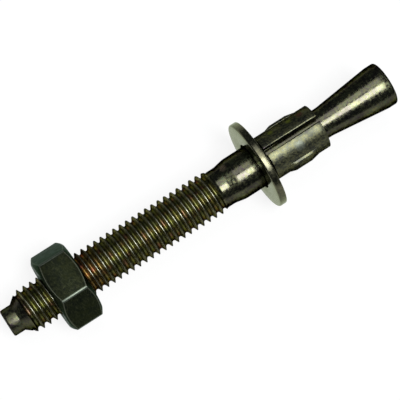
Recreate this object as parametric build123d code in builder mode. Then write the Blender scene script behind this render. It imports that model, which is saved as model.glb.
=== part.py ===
from build123d import *
import os
from math import cos, radians, sin, tan

# A wedge expansion anchor lying along X, millimetres.
# The origin is the centre of the stud's threaded tip, and +X runs to the cone.

# Stud, in the order met from the tip
point_diameter = 4.85
point_length = 2.0
point_edge_chamfer = 0.35
point_cone_angle = 39.0
thread_diameter = 7.8
thread_depth = 0.725
thread_pitch = 1.25
thread_flank_angle = 33.0
thread_length = 38.2
thread_runout_length = 0.9
thread_fade_length = 1.25
fade_past_shank = 0.1
shank_diameter = 6.9
shank_length = 1.5
taper_length = 1.9
collar_diameter = 7.65
collar_length = 6.2
neck_diameter = 5.45
neck_length = 11.9
cone_length = 10.65
band_diameter = 7.9
band_length = 1.75
band_edge_chamfer = 0.35

# Hexagon nut
nut_across_flats = 12.75
nut_thickness = 6.2
nut_chamfer_angle = 30.0
nut_bearing_share = 0.95
nut_from_tip = 8.4
nut_mouth_depth = 0.45
nut_mouth_angle = 60.0

# Plain washer
washer_diameter = 15.9
washer_thickness = 1.3
washer_edge_chamfer = 0.2

# Split expansion clip
clip_wall = 1.2
clip_length = 10.4
clip_seam_gap = 1.0
clip_edge_chamfer = 0.2
lug_height = 0.35
lug_arc = 56.0
lug_from_end = 2.5
lug_ramp_in = 1.0
lug_top_length = 3.1
lug_ramp_out = 1.5

# Clearances between the pieces
thread_clearance = 0.1
nut_bore_clearance = 0.15
clip_bore_clearance = 0.1
clip_end_clearance = 0.1
washer_bore_clearance = 0.375
washer_to_clip = 1.0

# The helix passes over the +Z side this far from the tip, and at every pitch from there
crest_phase = 0.71

# How far the thread's ridge is rooted in the stud's core, and runs on into the run-out
ridge_root_depth = 0.15
ridge_overrun = 0.5

# Turns of the tap past each face of the nut
tap_extra_turns = 2

# Stations along the axis
runout_start = point_length + thread_length
shank_start = runout_start + thread_runout_length
shank_end = shank_start + shank_length
collar_start = shank_end + taper_length
shoulder = collar_start + collar_length
cone_start = shoulder + neck_length
band_start = cone_start + cone_length
stud_end = band_start + band_length

thread_radius = thread_diameter / 2
root_radius = thread_radius - thread_depth


def ridge_section(plane, crest_radius, base_radius):
    """The thread's sharp ridge, cut by a plane through the axis."""
    half_base = (crest_radius - base_radius) * tan(radians(thread_flank_angle))
    with BuildSketch(plane) as section:
        with BuildLine():
            Polyline(
                (base_radius, -half_base),
                (crest_radius, 0),
                (base_radius, half_base),
                close=True,
            )
        make_face()
    return section.sketch


def helical_ridge(start_x, length, crest_radius, base_radius):
    """A right-handed ridge that starts on the +Z side, swept turn by turn."""
    whole_turns = int(length / thread_pitch)
    with BuildPart() as ridge:
        with BuildLine() as path:
            for turn in range(whole_turns):
                turn_start = turn * thread_pitch
                last = turn == whole_turns - 1
                Helix(
                    thread_pitch,
                    length - turn_start if last else thread_pitch,
                    root_radius,
                    center=(start_x + turn_start, 0, 0),
                    direction=(1, 0, 0),
                )
        axial_plane = Plane(origin=(start_x, 0, 0), x_dir=(0, 0, 1), z_dir=(0, -1, 0))
        sweep(
            sections=ridge_section(axial_plane, crest_radius, base_radius),
            path=path.wire(),
            is_frenet=True,
        )
    return ridge.part


# Stud: a threaded rod, turned down at both ends of the thread, then the plain lengths
point_radius = point_diameter / 2
shank_radius = shank_diameter / 2
turning_radius = thread_radius + thread_pitch
ridge_start = crest_phase + (int(point_length / thread_pitch) + 1) * thread_pitch
ridge_length = runout_start + ridge_overrun - ridge_start

# The cone that trims the first crests, from the end of the point outwards
point_slope = tan(radians(point_cone_angle))
point_cone_start = point_length / 2
point_cone_foot = point_radius - (point_length - point_cone_start) * point_slope
point_cone_end = point_length + (turning_radius - point_radius) / point_slope

# The cone that brings the last crests down to the shank, carried past both of its ends
fade_start = shank_start - thread_fade_length + fade_past_shank
fade_drop = thread_radius - shank_radius
fade_wide_start = fade_start - thread_fade_length
fade_low_end = fade_start + 1.5 * thread_fade_length
fade_low_radius = thread_radius - 1.5 * fade_drop
fade_clear_end = shank_end + thread_fade_length

with BuildPart() as stud:
    with BuildSketch(Plane.YZ.offset(point_length)):
        Circle(root_radius)
    extrude(amount=shank_end - point_length)
    ridge_base = root_radius - ridge_root_depth
    add(helical_ridge(ridge_start, ridge_length, thread_radius, ridge_base))
    with BuildSketch(Plane.XY):
        with BuildLine():
            Polyline(
                (point_cone_start, point_cone_foot),
                (point_cone_end, turning_radius),
                (point_cone_start, turning_radius),
                close=True,
            )
        make_face()
        with BuildLine():
            Polyline(
                (fade_wide_start, thread_radius + fade_drop),
                (fade_low_end, fade_low_radius),
                (fade_clear_end, fade_low_radius),
                (fade_clear_end, turning_radius),
                (fade_wide_start, turning_radius),
                close=True,
            )
        make_face()
    revolve(axis=Axis.X, mode=Mode.SUBTRACT)
    with BuildSketch(Plane.YZ):
        Circle(point_radius)
    extrude(amount=point_length)
    with BuildSketch(Plane.XY):
        with BuildLine():
            Polyline(
                (runout_start, 0),
                (runout_start, root_radius - ridge_root_depth),
                (shank_start, shank_radius),
                (shank_end, shank_radius),
                (collar_start, collar_diameter / 2),
                (shoulder, collar_diameter / 2),
                (shoulder, neck_diameter / 2),
                (cone_start, neck_diameter / 2),
                (band_start, band_diameter / 2),
                (stud_end, band_diameter / 2),
                (stud_end, 0),
                close=True,
            )
        make_face()
    revolve(axis=Axis.X)
    tip_edge = stud.faces().sort_by(Axis.X)[0].edges()
    chamfer(tip_edge, point_edge_chamfer)
    end_edge = stud.faces().sort_by(Axis.X)[-1].edges()
    chamfer(end_edge, band_edge_chamfer)
stud.part.label = "stud"

# Tap: the stud's own thread made larger by the clearance, as the tool that cuts the nut
nut_end = nut_from_tip + nut_thickness
nut_bore_radius = root_radius + nut_bore_clearance
nut_thread_radius = thread_radius + thread_clearance / sin(radians(thread_flank_angle))
tap_first_turn = int((nut_from_tip - crest_phase) / thread_pitch) - tap_extra_turns
tap_start = crest_phase + tap_first_turn * thread_pitch
tap_turns = int(nut_thickness / thread_pitch) + 1 + 2 * tap_extra_turns
tap_length = tap_turns * thread_pitch

with BuildPart() as tap:
    with BuildSketch(Plane.YZ.offset(tap_start - thread_pitch)):
        Circle(nut_bore_radius)
    extrude(amount=tap_length + 2 * thread_pitch)
    tap_base = nut_bore_radius - ridge_root_depth
    add(helical_ridge(tap_start, tap_length, nut_thread_radius, tap_base))

# Nut: a hexagon chamfered at both ends, countersunk and tapped
bearing_radius = nut_bearing_share * nut_across_flats / 2
corner_radius = nut_across_flats / 2 / cos(radians(30))
chamfer_depth = (corner_radius - bearing_radius) * tan(radians(nut_chamfer_angle))
mouth_slope = tan(radians(nut_mouth_angle))
mouth_radius = nut_bore_radius + nut_mouth_depth * mouth_slope
mouth_apex = mouth_radius / mouth_slope

with BuildPart() as nut:
    with BuildSketch(Plane.YZ.offset(nut_from_tip)):
        RegularPolygon(nut_across_flats / 2, 6, major_radius=False)
    extrude(amount=nut_thickness)
    with BuildSketch(Plane.XY):
        with BuildLine():
            Polyline(
                (nut_from_tip, 0),
                (nut_from_tip, bearing_radius),
                (nut_from_tip + chamfer_depth, corner_radius),
                (nut_end - chamfer_depth, corner_radius),
                (nut_end, bearing_radius),
                (nut_end, 0),
                close=True,
            )
        make_face()
    revolve(axis=Axis.X, mode=Mode.INTERSECT)
    with BuildSketch(Plane.XY):
        with BuildLine():
            Polyline(
                (nut_from_tip, 0),
                (nut_from_tip, mouth_radius),
                (nut_from_tip + mouth_apex, 0),
                close=True,
            )
        make_face()
        with BuildLine():
            Polyline(
                (nut_end, 0),
                (nut_end, mouth_radius),
                (nut_end - mouth_apex, 0),
                close=True,
            )
        make_face()
    revolve(axis=Axis.X, mode=Mode.SUBTRACT)
    add(tap.part, mode=Mode.SUBTRACT)
nut.part.label = "nut"

# Washer: a stamped ring with its outer edge eased on the nut's side
clip_start = shoulder + clip_end_clearance
washer_end = clip_start - washer_to_clip
washer_start = washer_end - washer_thickness
washer_hole_radius = collar_diameter / 2 + washer_bore_clearance

with BuildPart() as washer:
    with BuildSketch(Plane.YZ.offset(washer_start)):
        Circle(washer_diameter / 2)
        Circle(washer_hole_radius, mode=Mode.SUBTRACT)
    extrude(amount=washer_thickness)
    eased_edge = washer.faces().sort_by(Axis.X)[0].outer_wire().edges()
    chamfer(eased_edge, washer_edge_chamfer)
washer.part.label = "washer"

# Clip: a strip rolled round the neck, open at its seam, with a raised lug on each side
clip_end = clip_start + clip_length
clip_bore_radius = neck_diameter / 2 + clip_bore_clearance
clip_radius = clip_bore_radius + clip_wall
lug_start = clip_start + lug_from_end
lug_top_start = lug_start + lug_ramp_in
lug_top_end = lug_top_start + lug_top_length
lug_end = lug_top_end + lug_ramp_out

with BuildPart() as clip:
    with BuildSketch(Plane.XY):
        with BuildLine():
            Polyline(
                (clip_start, clip_bore_radius),
                (clip_start, clip_radius),
                (clip_end, clip_radius),
                (clip_end, clip_bore_radius),
                close=True,
            )
        make_face()
    revolve(axis=Axis.X)
    outer_edges = clip.edges().filter_by(GeomType.CIRCLE).group_by(SortBy.RADIUS)[-1]
    chamfer(outer_edges, clip_edge_chamfer)
    for side in (0, 180):
        with BuildSketch(Plane.XY.rotated((side - lug_arc / 2, 0, 0))):
            with BuildLine():
                Polyline(
                    (lug_start, clip_bore_radius),
                    (lug_start, clip_radius),
                    (lug_top_start, clip_radius + lug_height),
                    (lug_top_end, clip_radius + lug_height),
                    (lug_end, clip_radius),
                    (lug_end, clip_bore_radius),
                    close=True,
                )
            make_face()
        revolve(axis=Axis.X, revolution_arc=lug_arc)
    with BuildSketch(Plane.XY):
        with Locations(((clip_start + clip_end) / 2, 0)):
            Rectangle(clip_length, clip_seam_gap)
    extrude(amount=clip_radius + lug_height, mode=Mode.SUBTRACT)
clip.part.label = "clip"

os.makedirs("parts", exist_ok=True)
export_step(stud.part, "parts/stud.step")
export_step(nut.part, "parts/nut.step")
export_step(washer.part, "parts/washer.step")
export_step(clip.part, "parts/clip.step")
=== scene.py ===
import math
import bpy
from mathutils import Matrix, Vector


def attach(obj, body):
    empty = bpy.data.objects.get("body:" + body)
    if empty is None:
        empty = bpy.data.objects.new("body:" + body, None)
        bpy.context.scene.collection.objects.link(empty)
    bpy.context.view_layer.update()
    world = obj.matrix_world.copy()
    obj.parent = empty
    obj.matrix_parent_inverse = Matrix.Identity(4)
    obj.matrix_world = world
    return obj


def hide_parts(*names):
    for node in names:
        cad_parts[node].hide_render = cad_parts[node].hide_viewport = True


# Wedge expansion anchor in yellow chromated zinc: stud, nut, washer and split clip.
# It lies along X, with its threaded tip at 0. The settings are in millimetres and degrees,
# and mm turns millimetres into Blender's metres.

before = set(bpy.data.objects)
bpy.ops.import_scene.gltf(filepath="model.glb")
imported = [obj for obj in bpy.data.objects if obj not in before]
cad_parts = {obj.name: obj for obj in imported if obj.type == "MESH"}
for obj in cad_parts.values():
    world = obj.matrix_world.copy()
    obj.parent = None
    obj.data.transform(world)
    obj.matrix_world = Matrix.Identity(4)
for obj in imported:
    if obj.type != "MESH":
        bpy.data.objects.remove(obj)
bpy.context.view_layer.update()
mm = 0.001


# ---- small modelling helpers

def deselectAll():
    if bpy.context.object and bpy.context.object.mode != "OBJECT":
        bpy.ops.object.mode_set(mode="OBJECT")
    bpy.ops.object.select_all(action="DESELECT")


def workOn(piece):
    deselectAll()
    bpy.context.view_layer.objects.active = piece
    piece.select_set(True)


def pick(piece, kind, test):
    # selects the vertices or edges whose points all pass the test, or the faces whose centre does
    workOn(piece)
    bpy.ops.object.mode_set(mode="EDIT")
    bpy.ops.mesh.select_mode(type=kind)
    bpy.ops.mesh.select_all(action="DESELECT")
    bpy.ops.object.mode_set(mode="OBJECT")
    points = [v.co / mm for v in piece.data.vertices]
    if kind == "VERT":
        for vert in piece.data.vertices:
            vert.select = test(points[vert.index])
    elif kind == "EDGE":
        for edge in piece.data.edges:
            edge.select = all(test(points[i]) for i in edge.vertices)
    else:
        for face in piece.data.polygons:
            face.select = test(face.center / mm)
    bpy.ops.object.mode_set(mode="EDIT")


def isAt(value, target, slack=0.001):  # in mm, or in radians for an angle
    return abs(value - target) < slack


def ringRadius(point):
    return math.hypot(point.y, point.z)


def closeUp(piece):  # merges doubles and turns every face outwards
    workOn(piece)
    bpy.ops.object.mode_set(mode="EDIT")
    bpy.ops.mesh.select_mode(type="VERT")
    bpy.ops.mesh.select_all(action="SELECT")
    bpy.ops.mesh.remove_doubles(threshold=0.0005 * mm)
    bpy.ops.mesh.normals_make_consistent(inside=False)
    bpy.ops.object.mode_set(mode="OBJECT")


def scaleRound(factor):  # scales what is selected about the stud's axis
    bpy.ops.transform.resize(value=(1, factor, factor), center_override=(0, 0, 0))


def turnForm(name, profile, sides, hollow=False):
    # a lathe form round X: a circle drawn out from station to station, then its edges rounded.
    # Each station in the profile is its x, its radius and the rounding of its edge
    deselectAll()
    x, radius = profile[0][:2]
    bpy.ops.mesh.primitive_circle_add(
        vertices=sides, radius=radius * mm, fill_type="NOTHING" if hollow else "NGON",
        location=(x * mm, 0, 0), rotation=(0, math.pi / 2, 0))
    piece = bpy.context.object
    piece.name = name
    bpy.ops.object.transform_apply(location=True, rotation=True, scale=True)
    bpy.ops.object.mode_set(mode="EDIT")
    bpy.ops.mesh.select_all(action="SELECT")
    stations = profile[1:] + (profile[:1] if hollow else [])
    for nextX, nextRadius, rounding in stations:
        bpy.ops.mesh.extrude_region_move(
            TRANSFORM_OT_translate={"value": ((nextX - x) * mm, 0, 0)})
        scaleRound(nextRadius / radius)
        x, radius = nextX, nextRadius
    bpy.ops.object.mode_set(mode="OBJECT")
    closeUp(piece)
    for x, radius, rounding in profile:
        if rounding:
            pick(piece, "EDGE", lambda p: isAt(p.x, x) and isAt(ringRadius(p), radius, 0.003))
            bpy.ops.mesh.bevel(offset=rounding * mm, segments=4, affect="EDGES")
            bpy.ops.object.mode_set(mode="OBJECT")
    return piece


def startPoint(name, x, y, z):  # a plane shrunk to one point, left in edit mode to be drawn out
    deselectAll()
    bpy.ops.mesh.primitive_plane_add(size=mm, location=(x * mm, y * mm, z * mm))
    piece = bpy.context.object
    piece.name = name
    bpy.ops.object.transform_apply(location=True, rotation=True, scale=True)
    bpy.ops.object.mode_set(mode="EDIT")
    bpy.ops.mesh.select_mode(type="VERT")
    bpy.ops.mesh.select_all(action="SELECT")
    bpy.ops.mesh.merge(type="CENTER")
    return piece


def wholeTooth(flank, tip=()):  # a tooth's outline from one flank and its mirror image
    return flank + list(tip) + [(-offset, radius) for offset, radius in reversed(flank)]


def screwForm(name, firstCrest, turns, pitch, tooth, steps, ends):
    # one tooth's outline, drawn point by point over +Z, then screwed along X and cut square.
    # Each point of the outline is its offset from the crest along X, and its radius
    piece = startPoint(name, firstCrest + tooth[0][0], 0, tooth[0][1])
    for here, there in zip(tooth, tooth[1:]):
        move = ((there[0] - here[0]) * mm, 0, (there[1] - here[1]) * mm)
        bpy.ops.mesh.extrude_vertices_move(TRANSFORM_OT_translate={"value": move})
    bpy.ops.object.mode_set(mode="OBJECT")
    workOn(piece)
    bpy.ops.object.modifier_add(type="SCREW")
    screw = piece.modifiers[-1]
    screw.axis = "X"
    screw.screw_offset = pitch * mm
    screw.steps = screw.render_steps = steps
    screw.iterations = turns
    screw.use_merge_vertices = False
    bpy.ops.object.modifier_apply(modifier=screw.name)
    closeUp(piece)
    bpy.ops.object.mode_set(mode="EDIT")
    for end, side in zip(ends, ("clear_inner", "clear_outer")):
        bpy.ops.mesh.select_all(action="SELECT")
        bpy.ops.mesh.bisect(plane_co=(end * mm, 0, 0), plane_no=(1, 0, 0), use_fill=True,
                            threshold=0.00001 * mm, **{side: True})
    bpy.ops.object.mode_set(mode="OBJECT")
    closeUp(piece)
    return piece


def carve(piece, tool, operation):  # a boolean with a tool that is used up
    workOn(piece)
    bpy.ops.object.modifier_add(type="BOOLEAN")
    cut = piece.modifiers[-1]
    cut.operation = operation
    cut.solver = "MANIFOLD"
    cut.object = tool
    before = len(piece.data.vertices)
    bpy.ops.object.modifier_apply(modifier=cut.name)
    print("  ", piece.name, operation.lower(), tool.name, before, "->", len(piece.data.vertices))
    workOn(tool)
    bpy.ops.object.delete()


def easeEdges(piece, width, angle, segments):  # rounds every edge sharper than the angle
    workOn(piece)
    bpy.ops.object.modifier_add(type="BEVEL")
    ease = piece.modifiers[-1]
    ease.width = width * mm
    ease.segments = segments
    ease.limit_method = "ANGLE"
    ease.angle_limit = math.radians(angle)
    bpy.ops.object.modifier_apply(modifier=ease.name)


def finishPiece(piece, body, material, angle):
    workOn(piece)
    bpy.ops.object.shade_smooth_by_angle(angle=math.radians(angle))
    piece.data.materials.clear()
    piece.data.materials.append(material)
    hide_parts(body)
    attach(piece, body)
    print("  ", piece.name, "triangles", sum(len(f.vertices) - 2 for f in piece.data.polygons))


# ---- small material helpers

def colour(hexCode):  # sRGB hex to linear
    parts = [int(hexCode[i:i + 2], 16) / 255 for i in (1, 3, 5)]
    return [c / 12.92 if c <= 0.04045 else ((c + 0.055) / 1.055) ** 2.4 for c in parts] + [1]


def addNode(tree, kind, settings=None, links=None):
    # a setting goes to the socket of that name or number, to the ramp's stops, or to the node
    node = tree.nodes.new(kind)
    for key, value in (settings or {}).items():
        if isinstance(key, int) or key in node.inputs:
            node.inputs[key].default_value = value
        elif key == "stops":
            ramp = node.color_ramp
            while len(ramp.elements) < len(value):
                ramp.elements.new(0.5)
            for element, (place, shade) in zip(ramp.elements, value):
                element.position = place
                element.color = colour(shade)
        else:
            setattr(node, key, value)
    for socket, source in (links or {}).items():
        tree.links.new(source, node.inputs[socket])
    return node


def newMaterial(name):
    material = bpy.data.materials.new(name)
    material.use_nodes = True
    tree = material.node_tree
    return material, tree, tree.nodes["Principled BSDF"]


def chromatedZinc(name, settings, wear=None):
    # yellow chromated zinc: a thin iridescent film over bright metal. To the eye it is
    # mirror-dark, with clouds of olive, brown and green and tiny specks
    material, tree, shader = newMaterial(name)
    place = addNode(tree, "ShaderNodeTexCoord").outputs["Object"]
    clouds = addNode(tree, "ShaderNodeTexNoise",
                     {"Scale": 1 / (settings["patch"] * mm), "Detail": 4, "Roughness": 0.62},
                     {"Vector": place})
    specks = addNode(tree, "ShaderNodeTexNoise",
                     {"Scale": 1 / (settings["mottle"] * mm), "Detail": 3, "Roughness": 0.6},
                     {"Vector": place})
    cloudPart = addNode(tree, "ShaderNodeMath", {"operation": "MULTIPLY", 1: 0.5},
                        {0: clouds.outputs["Fac"]})
    blend = addNode(tree, "ShaderNodeMath", {"operation": "MULTIPLY_ADD", 1: 0.55},
                    {0: specks.outputs["Fac"], 2: cloudPart.outputs[0]})
    spread = addNode(tree, "ShaderNodeMapRange", {"From Min": 0.37, "From Max": 0.66},
                     {"Value": blend.outputs[0]})
    tones = addNode(tree, "ShaderNodeValToRGB", {"stops": settings["tones"]},
                    {"Fac": spread.outputs[0]})
    tint = tones.outputs["Color"]
    rough = addNode(tree, "ShaderNodeMapRange",
                    {"From Min": 0.35, "From Max": 0.7,
                     "To Min": settings["roughLow"], "To Max": settings["roughHigh"]},
                    {"Value": specks.outputs["Fac"]}).outputs[0]
    if wear:
        tint, rough = wear(tree, place, tint, rough, specks)
    tree.links.new(tint, shader.inputs["Base Color"])
    tree.links.new(rough, shader.inputs["Roughness"])
    grain = addNode(tree, "ShaderNodeTexNoise",  # the plated skin's grain, 0.12 mm across
                    {"Scale": 1 / (0.12 * mm), "Detail": 2}, {"Vector": place})
    bump = addNode(tree, "ShaderNodeBump", {"Strength": 0.12, "Distance": 0.02 * mm},
                   {"Height": grain.outputs["Fac"]})
    tree.links.new(bump.outputs["Normal"], shader.inputs["Normal"])
    shader.inputs["Metallic"].default_value = 1
    shader.inputs["Specular Tint"].default_value = colour(settings["edgeTint"])
    return material


def stained(tree, place, tint, marks):
    # round marks left in the finish: each has its place, its radius and its shade
    for spot, size, shade in marks:
        away = addNode(tree, "ShaderNodeVectorMath",
                       {"operation": "DISTANCE", 1: [c * mm for c in spot]}, {0: place})
        cover = addNode(tree, "ShaderNodeMapRange",
                        {"From Min": size * mm, "From Max": size * 0.45 * mm, "To Max": 0.85},
                        {"Value": away.outputs["Value"]})
        mark = addNode(tree, "ShaderNodeMix", {"data_type": "RGBA", 7: colour(shade)},
                       {"Factor": cover.outputs[0], 6: tint})
        tint = mark.outputs[2]
    return tint


def alongAndRadius(tree, place):  # the place along the stud's axis, and the distance from it
    axes = addNode(tree, "ShaderNodeSeparateXYZ", None, {0: place})
    across = addNode(tree, "ShaderNodeCombineXYZ", None,
                     {"Y": axes.outputs["Y"], "Z": axes.outputs["Z"]})
    radius = addNode(tree, "ShaderNodeVectorMath", {"operation": "LENGTH"},
                     {0: across.outputs[0]})
    return axes.outputs["X"], radius.outputs["Value"]


print("stage: helpers ready")

# ---- stud

studSettings = {
    # finish: the tones run from the film's darkest specks to its lightest, and the edge tint
    # is the metal's colour at a low angle
    "tones": [(0.0, "#352a34"), (0.14, "#383430"), (0.5, "#414138"), (0.72, "#51503a"),
              (0.85, "#414c40"), (1.0, "#615f43")],
    "edgeTint": "#20241f",
    "patch": 2.6,    # across a cloud of colour
    "mottle": 0.45,  # across a speck
    "roughLow": 0.13,
    "roughHigh": 0.37,
    # the thread's thicker film: its colours over the first 20 mm from the tip, and
    # its root colours' drift every 1.5 mm
    "tintedLength": 20.0,
    "flankTones": [(0.0, "#94926a"), (0.55, "#94926a"), (0.72, "#9a8766"), (0.8, "#988a66"),
                   (0.92, "#94926a")],
    "rootTones": [(0.0, "#54522a"), (0.55, "#54522a"), (0.74, "#7e4c28"), (0.82, "#76522a"),
                  (0.98, "#5a5429")],
    "driftSize": 1.5,
    "driftTones": [(0.36, "#7c4a48"), (0.46, "#6d6430"), (0.54, "#5f6a30"), (0.64, "#4c5a3c")],
    "driftShare": 0.45,
    "crestTint": "#64655a",
    "threadDulling": 0.13,  # added to the roughness
    "pointDulling": 0.14,
    "marks": [((43.5, 1.66, 3.14), 0.75, "#a08c74")],  # place, radius, shade
    # where each of these begins and is full: along X for the film's two ends and the
    # point's dulling, and from the axis for the roots and crests
    "filmStart": {"From Min": 3.4 * mm, "From Max": 4.2 * mm},
    "filmEnd": {"From Min": 41.0 * mm, "From Max": 40.0 * mm},
    "pointSkin": {"From Min": 2.6 * mm, "From Max": 2.2 * mm},
    "rootFilm": {"From Min": 3.5 * mm, "From Max": 3.28 * mm},
    "crestRub": {"From Min": 3.82 * mm, "From Max": 3.88 * mm},
    # shape
    "pitch": 1.25,
    "crestPhase": 0.71,  # the crest passes over +Z here and at every pitch from here
    "crestRadius": 3.9,
    "rootRadius": 3.175,
    "threadTurns": 36,  # from one pitch before the crest phase
    "threadEnds": (1.2, 42.0),
    "threadSteps": 72,
    "envelopeSides": 120,
    "turnedSides": 96,
    # x, radius, rounding
    "blank": [
        (0.0, 2.425, 0.3), (2.05, 2.425, 0), (2.1, 2.25, 0), (3.2, 2.9, 0), (39.7, 2.95, 0),
        (40.2, 3.025, 0), (41.1, 3.45, 0.15), (42.6, 3.45, 0.3), (44.5, 3.825, 0.3),
        (50.7, 3.825, 0.15), (50.7, 2.725, 0), (62.6, 2.725, 0.3), (73.25, 3.95, 0.25),
        (75.0, 3.95, 0.35)],
    # the cones that trim the thread at the tip and at the shank
    "envelope": [
        (1.6, 2.1, 0), (3.9, 3.965, 0), (5.0, 3.965, 0), (39.0, 3.965, 0), (39.8, 3.954, 0),
        (41.7, 3.27, 0)],
    "smoothAngle": 38,
}


def threadWear(tree, place, tint, rough, specks):
    # on the rolled thread the film is thick and golden, with copper next to the nut.
    # It is darkest in the roots, and the crests are rubbed back to grey metal
    along, radius = alongAndRadius(tree, place)
    filmStart = addNode(tree, "ShaderNodeMapRange", studSettings["filmStart"], {"Value": along})
    filmEnd = addNode(tree, "ShaderNodeMapRange", studSettings["filmEnd"], {"Value": along})
    onThread = addNode(tree, "ShaderNodeMath", {"operation": "MULTIPLY"},
                       {0: filmStart.outputs[0], 1: filmEnd.outputs[0]})
    share = addNode(tree, "ShaderNodeMapRange",
                    {"From Max": studSettings["tintedLength"] * mm}, {"Value": along})
    flanks = addNode(tree, "ShaderNodeValToRGB", {"stops": studSettings["flankTones"]},
                     {"Fac": share.outputs[0]})
    roots = addNode(tree, "ShaderNodeValToRGB", {"stops": studSettings["rootTones"]},
                    {"Fac": share.outputs[0]})
    drift = addNode(tree, "ShaderNodeTexNoise",
                    {"Scale": 1 / (studSettings["driftSize"] * mm), "Detail": 2},
                    {"Vector": place})
    hues = addNode(tree, "ShaderNodeValToRGB", {"stops": studSettings["driftTones"]},
                   {"Fac": drift.outputs["Fac"]})
    roots = addNode(tree, "ShaderNodeMix",
                    {"data_type": "RGBA", "Factor": studSettings["driftShare"]},
                    {6: roots.outputs["Color"], 7: hues.outputs["Color"]})
    deep = addNode(tree, "ShaderNodeMapRange", studSettings["rootFilm"], {"Value": radius})
    film = addNode(tree, "ShaderNodeMix", {"data_type": "RGBA"},
                   {"Factor": deep.outputs[0], 6: flanks.outputs["Color"], 7: roots.outputs[2]})
    patchy = addNode(tree, "ShaderNodeMapRange",
                     {"From Min": 0.36, "From Max": 0.6, "To Min": 0.35},
                     {"Value": specks.outputs["Fac"]})
    cover = addNode(tree, "ShaderNodeMath", {"operation": "MULTIPLY"},
                    {0: onThread.outputs[0], 1: patchy.outputs[0]})
    filmed = addNode(tree, "ShaderNodeMix", {"data_type": "RGBA"},
                     {"Factor": cover.outputs[0], 6: tint, 7: film.outputs[2]})
    high = addNode(tree, "ShaderNodeMapRange", studSettings["crestRub"], {"Value": radius})
    worn = addNode(tree, "ShaderNodeMath", {"operation": "MULTIPLY"},
                   {0: high.outputs[0], 1: onThread.outputs[0]})
    rubbed = addNode(tree, "ShaderNodeMix",
                     {"data_type": "RGBA", 7: colour(studSettings["crestTint"])},
                     {"Factor": worn.outputs[0], 6: filmed.outputs[2]})
    dull = addNode(tree, "ShaderNodeMath",
                   {"operation": "MULTIPLY_ADD", 1: studSettings["threadDulling"]},
                   {0: onThread.outputs[0], 2: rough})
    onPoint = addNode(tree, "ShaderNodeMapRange", studSettings["pointSkin"], {"Value": along})
    dull = addNode(tree, "ShaderNodeMath",
                   {"operation": "MULTIPLY_ADD", 1: studSettings["pointDulling"]},
                   {0: onPoint.outputs[0], 2: dull.outputs[0]})
    tint = stained(tree, place, rubbed.outputs[2], studSettings["marks"])
    return tint, dull.outputs[0]


# turned and rolled, so it is the glossiest of the four
studZinc = chromatedZinc("chromatedZincTurned", studSettings, threadWear)

pitch = studSettings["pitch"]
phase = studSettings["crestPhase"]
crest = studSettings["crestRadius"]
root = studSettings["rootRadius"]
# a rolled tooth with its small crest round and root round
studTooth = wholeTooth([
    (-pitch / 2, root), (-0.54, root + 0.011), (-0.46, root + 0.044), (-0.392, root + 0.097),
    (-0.339, root + 0.165), (-0.085, crest - 0.06), (-0.04, crest - 0.008)])
thread = screwForm("studThread", phase - pitch, studSettings["threadTurns"], pitch, studTooth,
                   studSettings["threadSteps"], studSettings["threadEnds"])
envelope = turnForm("studEnvelope", studSettings["envelope"], studSettings["envelopeSides"])
carve(thread, envelope, "INTERSECT")
stud = turnForm("studTurned", studSettings["blank"], studSettings["turnedSides"])
carve(stud, thread, "UNION")
closeUp(stud)
finishPiece(stud, "stud", studZinc, studSettings["smoothAngle"])
print("stage: stud done")

# ---- nut

nutSettings = {
    # finish
    "tones": [(0.0, "#111411"), (0.4, "#161a12"), (0.65, "#1a1e13"), (1.0, "#212415")],
    "edgeTint": "#bac6be",
    "patch": 4.0,
    "mottle": 0.8,
    "roughLow": 0.36,
    "roughHigh": 0.48,
    "scratchTint": "#303323",
    "scratchSize": (1.1, 0.1, 0.9),
    "scratchLays": ((0.6, 1.0), (-0.8, 4.0), (1.8, 7.0)),  # radians turned, mm moved along
    # the lighter edge line and lighter corners below are rubbed metal and a painted highlight
    "edgeRubAndHighlightTint": "#5f6355",
    "edgeRubAndHighlightInset": 0.22,  # inside the chamfer's cone
    "edgeRubAndHighlight": {"From Min": 0.2 * mm, "From Max": 0.1 * mm, "To Max": 0.5},
    "cornerRubAndHighlightTint": "#565d53",
    "cornerRubAndHighlight": {"From Min": 7.2 * mm, "From Max": 7.25 * mm},  # from the axis
    # shape
    "start": 8.4,
    "thickness": 6.2,
    "acrossFlats": 12.75,
    "cornerRounding": 0.22,
    "bearingRadius": 6.056,
    "chamferAngle": 30,
    "easing": 0.09,
    "easedAngle": 28,
    "mouthRadius": 4.104,
    "mouthDepth": 0.45,
    "boreRadius": 3.325,
    "tapCrest": 4.07,
    "tapFirstTurn": 3,  # counted from the crest phase
    "tapTurns": 12,
    "tapOverrun": 1.5,
    "smoothAngle": 32,
}
nutStart = nutSettings["start"]
nutEnd = nutStart + nutSettings["thickness"]
nutMiddle = (nutStart + nutEnd) / 2
nutCorner = nutSettings["acrossFlats"] / 2 / math.cos(math.pi / 6)
bearing = nutSettings["bearingRadius"]
chamferSlope = math.tan(math.radians(nutSettings["chamferAngle"]))


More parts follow.
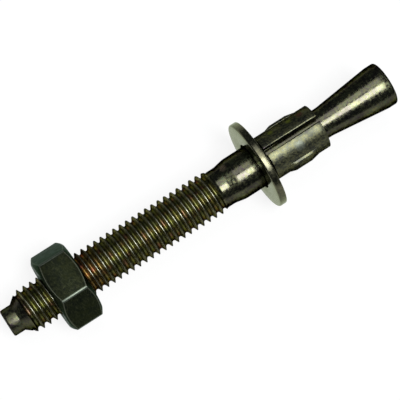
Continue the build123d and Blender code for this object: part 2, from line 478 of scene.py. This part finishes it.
def nutWearAndHighlights(tree, place, tint, rough, specks):
    # light scratches from the tumbling drum, about 0.05 mm wide and drawn twice as coarse
    # to show, and lighter lines where each flat meets the end chamfers and at the corners:
    # rubbed metal with a painted highlight
    for angle, moved in nutSettings["scratchLays"]:
        turned = addNode(tree, "ShaderNodeMapping",
                         {"vector_type": "TEXTURE", "Rotation": (0, 0, angle),
                          "Location": (moved * mm, 0, 0),
                          "Scale": [c * mm for c in nutSettings["scratchSize"]]},
                         {"Vector": place})
        lines = addNode(tree, "ShaderNodeTexNoise", {"Scale": 1.0, "Detail": 1},
                        {"Vector": turned.outputs[0]})
        share = addNode(tree, "ShaderNodeMapRange",
                        {"From Min": 0.58, "From Max": 0.7, "To Max": 0.7},
                        {"Value": lines.outputs["Fac"]})
        scratched = addNode(tree, "ShaderNodeMix",
                            {"data_type": "RGBA", 7: colour(nutSettings["scratchTint"])},
                            {"Factor": share.outputs[0], 6: tint})
        tint = scratched.outputs[2]
    along, radius = alongAndRadius(tree, place)
    fromMiddle = addNode(tree, "ShaderNodeMath", {"operation": "SUBTRACT", 1: nutMiddle * mm},
                         {0: along})
    fromMiddle = addNode(tree, "ShaderNodeMath", {"operation": "ABSOLUTE"},
                         {0: fromMiddle.outputs[0]})
    # all over the chamfer's cone, the radius and this multiple of the length from the nut's
    # middle add up to the same
    cone = addNode(tree, "ShaderNodeMath", {"operation": "MULTIPLY_ADD", 1: 1 / chamferSlope},
                   {0: fromMiddle.outputs[0], 2: radius})
    coneSum = bearing + nutSettings["thickness"] / 2 / chamferSlope
    line = addNode(tree, "ShaderNodeMath",
                   {"operation": "SUBTRACT", 1: (coneSum - nutSettings["edgeRubAndHighlightInset"]) * mm},
                   {0: cone.outputs[0]})
    line = addNode(tree, "ShaderNodeMath", {"operation": "ABSOLUTE"}, {0: line.outputs[0]})
    # a lighter line near each flat's edge: rubbed metal and a painted highlight
    edge = addNode(tree, "ShaderNodeMapRange", nutSettings["edgeRubAndHighlight"],
                   {"Value": line.outputs[0]})
    edgeRubAndHighlightMix = addNode(tree, "ShaderNodeMix",
                    {"data_type": "RGBA", 7: colour(nutSettings["edgeRubAndHighlightTint"])},
                    {"Factor": edge.outputs[0], 6: tint})
    # lighter hexagon corners: rubbed metal and a painted highlight
    cornerRubAndHighlightMask = addNode(tree, "ShaderNodeMapRange", nutSettings["cornerRubAndHighlight"], {"Value": radius})
    rubbed = addNode(tree, "ShaderNodeMix",
                     {"data_type": "RGBA", 7: colour(nutSettings["cornerRubAndHighlightTint"])},
                     {"Factor": cornerRubAndHighlightMask.outputs[0], 6: edgeRubAndHighlightMix.outputs[2]})
    return rubbed.outputs[2], rough


# forged and tumbled, so its film is the darkest and has a satin sheen
nutZinc = chromatedZinc("chromatedZincSatin", nutSettings, nutWearAndHighlights)


def nutTool(name, foot, waist, depth, past, sides):
    # a turned tool, the same at both ends: its radius goes from foot at the nut's face to
    # waist at this depth, and its cones run on past the faces
    footPast = foot - past * (waist - foot) / depth
    return turnForm(name, [
        (nutStart - past, footPast, 0), (nutStart + depth, waist, 0),
        (nutEnd - depth, waist, 0), (nutEnd + past, footPast, 0)], sides)


deselectAll()
bpy.ops.mesh.primitive_cylinder_add(
    vertices=6, radius=nutCorner * mm, depth=nutSettings["thickness"] * mm,
    location=(nutMiddle * mm, 0, 0), rotation=(0, math.pi / 2, 0))
nut = bpy.context.object
nut.name = "nutHexagon"
bpy.ops.object.transform_apply(location=True, rotation=True, scale=True)
workOn(nut)
bpy.ops.object.mode_set(mode="EDIT")
bpy.ops.mesh.select_mode(type="EDGE")
bpy.ops.mesh.select_all(action="DESELECT")
bpy.ops.object.mode_set(mode="OBJECT")
for edge in nut.data.edges:  # the six corners that run along X
    first, second = (nut.data.vertices[i].co for i in edge.vertices)
    edge.select = abs(first.x - second.x) > mm
bpy.ops.object.mode_set(mode="EDIT")
bpy.ops.mesh.bevel(offset=nutSettings["cornerRounding"] * mm, segments=3, affect="EDGES")
bpy.ops.object.mode_set(mode="OBJECT")

reach = nutCorner + 0.3  # clear of the corners
chamferTool = nutTool("nutChamferTool", foot=bearing, waist=reach,
                      depth=(reach - bearing) * chamferSlope, past=0.2, sides=120)
carve(nut, chamferTool, "INTERSECT")
easeEdges(nut, nutSettings["easing"], nutSettings["easedAngle"], segments=2)

bore = nutSettings["boreRadius"]
tapCrest = nutSettings["tapCrest"]
tapRoot = bore - 0.004  # just inside the bore, so that the cuts leave no skin
tapTooth = wholeTooth([(-pitch / 2, tapRoot), (-0.493, tapRoot), (-0.03, tapCrest - 0.035)],
                      tip=[(0.0, tapCrest - 0.01)])
mouths = nutTool("nutMouthTool", foot=nutSettings["mouthRadius"], waist=bore,
                 depth=nutSettings["mouthDepth"], past=0.3, sides=96)
tap = screwForm("nutTap", phase + nutSettings["tapFirstTurn"] * pitch, nutSettings["tapTurns"],
                pitch, tapTooth, studSettings["threadSteps"],
                (nutStart - nutSettings["tapOverrun"], nutEnd + nutSettings["tapOverrun"]))
carve(nut, mouths, "DIFFERENCE")
carve(nut, tap, "DIFFERENCE")
closeUp(nut)
finishPiece(nut, "nut", nutZinc, nutSettings["smoothAngle"])
print("stage: nut done")

# ---- washer

washerSettings = {
    # finish
    "tones": [(0.0, "#3b3a30"), (0.4, "#49493c"), (0.7, "#575644"), (1.0, "#62614e")],
    "edgeTint": "#f4fde4",
    "patch": 3.0,
    "mottle": 0.5,
    "roughLow": 0.2,
    "roughHigh": 0.32,
    # shape: x, radius, rounding. The outer edge on the nut's side is the punch's round one
    "ring": [(48.5, 4.2, 0.12), (48.5, 7.95, 0.3), (49.8, 7.95, 0.15), (49.8, 4.2, 0.08)],
    "sides": 144,
    "smoothAngle": 40,
}

# stamped from smooth sheet, so it is the palest, above all at a low angle
washerZinc = chromatedZinc("chromatedZincStamped", washerSettings)

washer = turnForm("washerRing", washerSettings["ring"], washerSettings["sides"], hollow=True)
finishPiece(washer, "washer", washerZinc, washerSettings["smoothAngle"])
print("stage: washer done")

# ---- clip

clipSettings = {
    # finish
    "tones": [(0.0, "#342a31"), (0.2, "#393b34"), (0.5, "#47493d"), (0.72, "#5e5d44"),
              (1.0, "#5a5f50")],
    "edgeTint": "#20241f",
    "patch": 1.8,
    "mottle": 0.35,
    "roughLow": 0.34,
    "roughHigh": 0.5,
    # place, radius, shade
    "marks": [((56.25, -2.26, 3.33), 1.1, "#60655b"), ((53.4, 2.52, 3.14), 0.65, "#626839"),
              ((57.0, 2.52, 3.14), 0.65, "#626839"), ((59.2, 2.5, 3.16), 0.8, "#55443c")],
    # shape: the places along the clip are counted from its start
    "start": 50.8,
    "length": 10.4,
    "bore": 2.825,
    "wall": 1.2,
    "spinSteps": 118,
    "rolledGap": 1.0,  # the seam as the strip is rolled, before its lips are squeezed
    "seamAtStart": 1.12,
    "seamAtEnd": 0.86,
    "lipRounding": 0.32,
    "endRings": (1.2, 9.3),  # between the ends and the lugs
    "lugStart": 2.5,
    "lugTop": 3.5,
    "lugTopEnd": 6.6,
    "lugEnd": 8.1,
    "lugHeight": 0.35,
    "lugFoot": 0.04,  # what is left of the height at the foot of the lugs' ramps
    "lugHalfArc": 28,
    "lugEdgeArc": 1.2,  # the part of the arc in which the lugs' long edges are ramped
    "easing": 0.1,
    "easedAngle": 35,
    "smoothAngle": 40,
}


def clipWear(tree, place, tint, rough, specks):  # faint round marks from the rolling tools
    return stained(tree, place, tint, clipSettings["marks"]), rough


# rolled from strip and tumbled, so it is matt, with fine specks
clipZinc = chromatedZinc("chromatedZincMatt", clipSettings, clipWear)

clipStart = clipSettings["start"]
clipBore = clipSettings["bore"]
clipOuter = clipBore + clipSettings["wall"]
ringNearStart, ringNearEnd = clipSettings["endRings"]
clipStations = [0, ringNearStart, clipSettings["lugStart"], clipSettings["lugTop"],
                clipSettings["lugTopEnd"], clipSettings["lugEnd"], ringNearEnd,
                clipSettings["length"]]
seamHalf = math.asin(clipSettings["rolledGap"] / 2 / clipOuter)
clip = startPoint("clipRolled", clipStart, clipBore * math.sin(seamHalf),
                  clipBore * math.cos(seamHalf))
for here, there in zip(clipStations, clipStations[1:]):
    bpy.ops.mesh.extrude_vertices_move(
        TRANSFORM_OT_translate={"value": ((there - here) * mm, 0, 0)})
bpy.ops.mesh.select_all(action="SELECT")
bpy.ops.mesh.spin(steps=clipSettings["spinSteps"], angle=2 * math.pi - 2 * seamHalf,
                  center=(0, 0, 0), axis=(1, 0, 0))
bpy.ops.mesh.select_all(action="SELECT")
bpy.ops.mesh.extrude_region_move(TRANSFORM_OT_translate={"value": (0, 0, 0)})
scaleRound(clipOuter / clipBore)
bpy.ops.object.mode_set(mode="OBJECT")
closeUp(clip)

# the seam's two lips are squeezed flat, and closer together towards the cone
seamChange = clipSettings["seamAtEnd"] - clipSettings["seamAtStart"]
lipReach = clipSettings["rolledGap"] / 2 + 0.01
for station in clipStations:
    gap = clipSettings["seamAtStart"] + seamChange * station / clipSettings["length"]
    for side in (-1, 1):
        pick(clip, "VERT", lambda p: isAt(p.x, clipStart + station)
             and p.z > 0 and 0 < p.y * side < lipReach
             and isAt(math.atan2(abs(p.y), p.z), seamHalf, 0.01))
        bpy.ops.transform.resize(value=(1, 0, 1), center_override=(0, side * gap / 2 * mm, 0))
        bpy.ops.object.mode_set(mode="OBJECT")

# the lips' outer edges are rounded
lipReach = clipSettings["seamAtStart"] / 2 + 0.04
pick(clip, "EDGE", lambda p: p.z > 0 and abs(p.y) < lipReach
     and ringRadius(p) > clipOuter - 0.05)
bpy.ops.mesh.bevel(offset=clipSettings["lipRounding"] * mm, segments=4, affect="EDGES")
bpy.ops.object.mode_set(mode="OBJECT")

# the two lugs are drawn out of the outer wall, then ramped down all round
lugStart = clipStart + clipSettings["lugStart"]
lugEnd = clipStart + clipSettings["lugEnd"]
lugArc = math.radians(clipSettings["lugHalfArc"])
lugRampArc = lugArc - math.radians(clipSettings["lugEdgeArc"])
lugRadius = clipOuter + clipSettings["lugHeight"]
footScale = (clipOuter + clipSettings["lugFoot"]) / lugRadius
pick(clip, "FACE", lambda p: ringRadius(p) > clipOuter - 0.1 and lugStart < p.x < lugEnd
     and abs(math.atan2(p.z, abs(p.y))) < lugArc)
bpy.ops.mesh.extrude_region_move(TRANSFORM_OT_translate={"value": (0, 0, 0)})
scaleRound(lugRadius / clipOuter)
for lugFace in (lugStart, lugEnd):
    pick(clip, "VERT", lambda p: isAt(p.x, lugFace) and ringRadius(p) > lugRadius - 0.02)
    scaleRound(footScale)
pick(clip, "VERT", lambda p: ringRadius(p) > lugRadius - 0.02
     and abs(math.atan2(p.z, abs(p.y))) > lugRampArc)
scaleRound(footScale)
bpy.ops.object.mode_set(mode="OBJECT")
closeUp(clip)
easeEdges(clip, clipSettings["easing"], clipSettings["easedAngle"], segments=3)
finishPiece(clip, "clip", clipZinc, clipSettings["smoothAngle"])
print("stage: clip done")

# ---- floor, light and camera

floorSettings = {
    "size": 3000,
    "middle": 49,
    "paper": "#666666",
    "roughness": 0.9,
    "sheen": 0.1,
    "whiteness": 0.85,  # what the camera and reflections see on top of the lit paper
}

# the anchor lies on a flat of its nut and on the washer's rim, so the floor leans a little
washerMiddle = (washerSettings["ring"][1][0] + washerSettings["ring"][2][0]) / 2
washerRadius = washerSettings["ring"][1][1]
nutRest = nutStart + 0.5  # where the flat begins, past the chamfer
floorLean = math.atan2(washerRadius - nutSettings["acrossFlats"] / 2, washerMiddle - nutRest)
deselectAll()
bpy.ops.mesh.primitive_plane_add(
    size=floorSettings["size"] * mm,
    location=(floorSettings["middle"] * mm, 0, -washerRadius * mm), rotation=(0, floorLean, 0))
floor = bpy.context.object
floor.name = "paleFloor"

floorPaper, tree, shader = newMaterial("paleStudioPaper")  # matt paper: even, with a soft shadow
shader.inputs["Base Color"].default_value = colour(floorSettings["paper"])
shader.inputs["Roughness"].default_value = floorSettings["roughness"]
shader.inputs["Specular IOR Level"].default_value = floorSettings["sheen"]
rays = addNode(tree, "ShaderNodeLightPath")
seen = addNode(tree, "ShaderNodeMath", {"operation": "ADD"},
               {0: rays.outputs["Is Camera Ray"], 1: rays.outputs["Is Glossy Ray"]})
seen = addNode(tree, "ShaderNodeMath", {"operation": "ADD", "use_clamp": True},
               {0: seen.outputs[0], 1: rays.outputs["Is Transmission Ray"]})
glow = addNode(tree, "ShaderNodeMath", {"operation": "MULTIPLY", 1: floorSettings["whiteness"]},
               {0: seen.outputs[0]})
tree.links.new(glow.outputs[0], shader.inputs["Emission Strength"])
shader.inputs["Emission Color"].default_value = (1, 1, 1, 1)
floor.data.materials.append(floorPaper)

# roll is the slope of the anchor's axis in the picture, lean how far its cone points away
# from the camera, and tilt how far the camera stands round from the top. The offset is the
# axis's distance from the middle of the picture
cameraSettings = {"lens": 180, "sensor": 36, "roll": 32.537, "lean": 7.7, "tilt": 15.2,
                  "aim": (37.8, 0, 0), "offset": 0.1245, "distance": 331.9}
roll, lean, tilt = (math.radians(cameraSettings[key]) for key in ("roll", "lean", "tilt"))
xInView = Vector((math.cos(roll) * math.cos(lean), math.sin(roll) * math.cos(lean),
                  -math.sin(lean)))
upInView = Vector((-math.sin(roll), math.cos(roll), 0))
towards = Vector((math.sin(lean) * math.cos(roll), math.sin(lean) * math.sin(roll),
                  math.cos(lean)))
zInView = upInView * math.sin(tilt) + towards * math.cos(tilt)
yInView = zInView.cross(xInView)
# its rows are the world's axes in the view, so it takes the view to the world
turn = Matrix((xInView, yInView, zInView))
offset = cameraSettings["offset"]
aimInView = Vector((math.sin(roll) * offset, -math.cos(roll) * offset,
                    -cameraSettings["distance"]))
aim = Vector(cameraSettings["aim"])
deselectAll()
bpy.ops.object.camera_add(location=(aim - turn @ aimInView) * mm, rotation=turn.to_euler())
camera = bpy.context.object
camera.name = "studioCamera"
camera.data.lens = cameraSettings["lens"]
camera.data.sensor_width = cameraSettings["sensor"]
camera.data.clip_start = 10 * mm
bpy.context.scene.camera = camera

# two flat softboxes, placed by their angles from the camera: across goes over the anchor's
# side in the picture, along goes down its length. Size and distance are in metres
lampSettings = {
    "keySoftbox": {"across": 8, "along": 14.3, "size": (0.64, 0.98), "radiance": 22.0,
                   "distance": 2.0},
    "fillSoftbox": {"across": -27, "along": 12, "size": (0.9, 0.95), "radiance": 3.6,
                    "distance": 2.0},
}


def addLamp(name, across, along, size, radiance, distance):  # a softbox that faces the anchor
    length = Vector((1, 0, 0))
    direction = Matrix.Rotation(math.radians(across), 3, length) @ turn @ Vector((0, 0, 1))
    direction = Matrix.Rotation(math.radians(along), 3, turn @ upInView) @ direction
    back = direction.normalized()
    deselectAll()
    bpy.ops.object.light_add(type="AREA", location=aim * mm + back * distance)
    lamp = bpy.context.object
    lamp.name = name
    lamp.data.shape = "RECTANGLE"
    lamp.data.size, lamp.data.size_y = size
    lamp.data.energy = radiance * math.pi * size[0] * size[1]
    xAxis = (length - back * length.dot(back)).normalized()
    lamp.rotation_euler = Matrix((xAxis, back.cross(xAxis), back)).transposed().to_euler()


for lampName, settings in lampSettings.items():
    addLamp(lampName, **settings)

worldSettings = {"colour": "#9aa4a8", "strength": 0.28}
world = bpy.data.worlds.new("studioWorld")
bpy.context.scene.world = world
world.use_nodes = True
surround = world.node_tree.nodes["Background"]
surround.inputs["Color"].default_value = colour(worldSettings["colour"])
surround.inputs["Strength"].default_value = worldSettings["strength"]

bpy.context.scene.view_settings.view_transform = "Standard"
print("stage: camera and light done")
